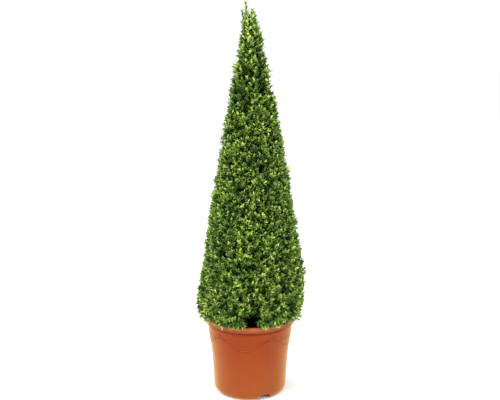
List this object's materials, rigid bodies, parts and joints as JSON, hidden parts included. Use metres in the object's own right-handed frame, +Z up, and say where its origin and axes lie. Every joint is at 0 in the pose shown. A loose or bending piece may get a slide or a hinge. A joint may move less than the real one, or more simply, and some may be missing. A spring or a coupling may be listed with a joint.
{
  "type": "boxwood cone topiary in a pot",
  "caption": "Boxwood shrub clipped to a tall cone with loose shoots at its tip, standing in a round terracotta-coloured plastic pot with a broad collar.",
  "frame": {"origin": "middle of the pot's flat underside, on the surface that it stands on", "axes": "+Z up along the crown, -Y towards the front, +X to the right as seen from the front"},
  "size_m": [0.3815, 0.3816, 1.367],
  "materials": {
    "pot_plastic": "satin",
    "compost": "matte",
    "bark": "matte",
    "leaves": "satin",
    "young_leaves": "satin"
  },
  "bodies": {
    "root": {"pot": "pot_plastic", "compost": "compost", "stem": "bark", "foliage_base": "leaves", "foliage_middle": "leaves", "foliage_top": "leaves", "leader_spire": "young_leaves", "right_spire": "young_leaves", "left_spire": "young_leaves"}
  },
  "joints": []
}
